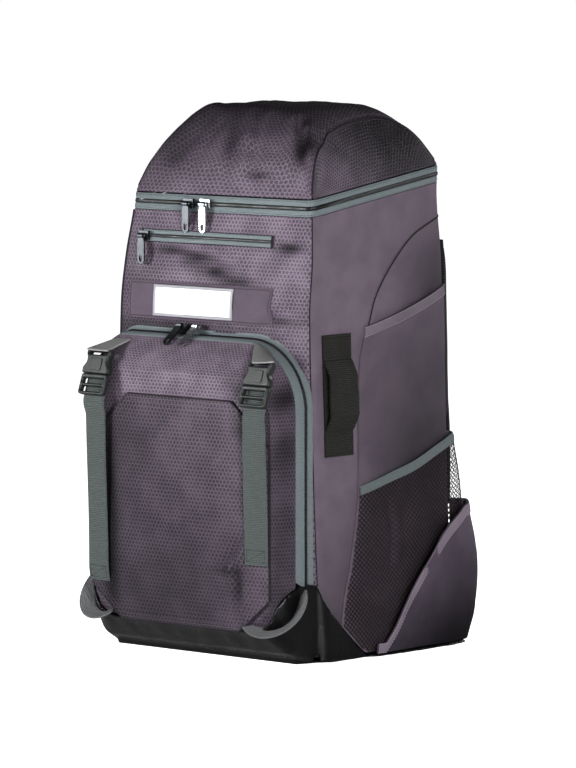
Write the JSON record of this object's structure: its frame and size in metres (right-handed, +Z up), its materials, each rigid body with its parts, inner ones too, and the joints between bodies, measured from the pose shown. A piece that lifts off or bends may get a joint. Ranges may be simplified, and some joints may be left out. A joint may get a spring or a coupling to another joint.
{
  "type": "backpack",
  "caption": "Plum cloth baseball bat backpack with bat sleeves, net side pockets, a helmet flap, a deep zipped front pocket and a domed zip-round lid.",
  "frame": {"origin": "on the floor under the middle of the main compartment, on the boot's flat bottom", "axes": "+Z up, -Y towards the front pocket, +X towards the wearer's right-hand side of the front panel as seen from the front"},
  "size_m": [0.3116, 0.3023, 0.516],
  "materials": {
    "plum_cloth": "matte",
    "dark_plum_cloth": "matte",
    "zip_tape": "matte",
    "zip_coil": "satin",
    "grey_webbing": "matte",
    "light_webbing": "matte",
    "black_webbing": "matte",
    "coated_base": "satin",
    "net": "matte",
    "buckle_plastic": "satin",
    "plate_white": "smooth",
    "back_foam": "matte",
    "gunmetal": "satin",
    "silver": "polished"
  },
  "bodies": {
    "bag": {"body_front": "plum_cloth", "body_side_right": "plum_cloth", "body_side_left": "plum_cloth", "body_back": "dark_plum_cloth", "lid_tape_lower": "zip_tape", "lid_coil": "zip_coil", "lid_tape_upper": "zip_tape", "lid_centre": "plum_cloth", "lid_gusset_left": "plum_cloth", "lid_gusset_right": "plum_cloth", "pocket_shell": "plum_cloth", "pocket_tape_back": "zip_tape", "pocket_coil": "zip_coil", "pocket_tape_front": "zip_tape", "base_boot": "coated_base", "small_zip_tape": "zip_coil", "small_zip_coil": "zip_coil", "patch_band": "dark_plum_cloth", "label_plate": "plate_white", "helmet_flap": "plum_cloth", "back_pad": "back_foam", "haul_handle": "black_webbing", "flap_strap_left": "grey_webbing", "buckle_plug_left": "buckle_plastic", "buckle_socket_left": "buckle_plastic", "strap_stub_left": "light_webbing", "corner_loop_left": "grey_webbing", "sleeve_left": "plum_cloth", "sleeve_hem_left": "light_webbing", "net_pocket_left": "net", "net_hem_left": "zip_tape", "foot_pouch_left": "dark_plum_cloth", "bat_strap_left": "black_webbing", "shoulder_strap_left": "back_foam", "strap_webbing_left": "black_webbing", "ladder_lock_left": "buckle_plastic", "flap_strap_right": "grey_webbing", "buckle_plug_right": "buckle_plastic", "buckle_socket_right": "buckle_plastic", "strap_stub_right": "light_webbing", "corner_loop_right": "grey_webbing", "sleeve_right": "plum_cloth", "sleeve_hem_right": "light_webbing", "net_pocket_right": "net", "net_hem_right": "zip_tape", "foot_pouch_right": "dark_plum_cloth", "bat_strap_right": "black_webbing", "shoulder_strap_right": "back_foam", "strap_webbing_right": "black_webbing", "ladder_lock_right": "buckle_plastic", "slider_1": "gunmetal", "slider_2": "silver", "slider_3": "gunmetal", "slider_4": "silver", "slider_5": "gunmetal"},
    "zip_pull_1": {"pull_1": "gunmetal"},
    "zip_pull_2": {"pull_2": "silver"},
    "zip_pull_3": {"pull_3": "gunmetal"},
    "zip_pull_4": {"pull_4": "silver"},
    "zip_pull_5": {"pull_5": "gunmetal"}
  },
  "joints": [
    {"name": "pull_1_swing", "type": "hinge", "parent": "bag", "child": "zip_pull_1", "pos_m": [-0.037, -0.1188, 0.423], "axis": [-1, 0, 0], "range_deg": [0, 90]},
    {"name": "pull_2_swing", "type": "hinge", "parent": "bag", "child": "zip_pull_2", "pos_m": [-0.016, -0.1188, 0.423], "axis": [-1, 0, 0], "range_deg": [0, 90]},
    {"name": "pull_3_swing", "type": "hinge", "parent": "bag", "child": "zip_pull_3", "pos_m": [-0.032, -0.13326, 0.30889], "axis": [-1, 0, 0], "range_deg": [0, 60]},
    {"name": "pull_4_swing", "type": "hinge", "parent": "bag", "child": "zip_pull_4", "pos_m": [-0.012, -0.13334, 0.30889], "axis": [-1, 0, 0], "range_deg": [0, 60]},
    {"name": "pull_5_swing", "type": "hinge", "parent": "bag", "child": "zip_pull_5", "pos_m": [-0.0878, -0.12485, 0.391], "axis": [-1, 0, 0], "range_deg": [0, 90]}
  ]
}
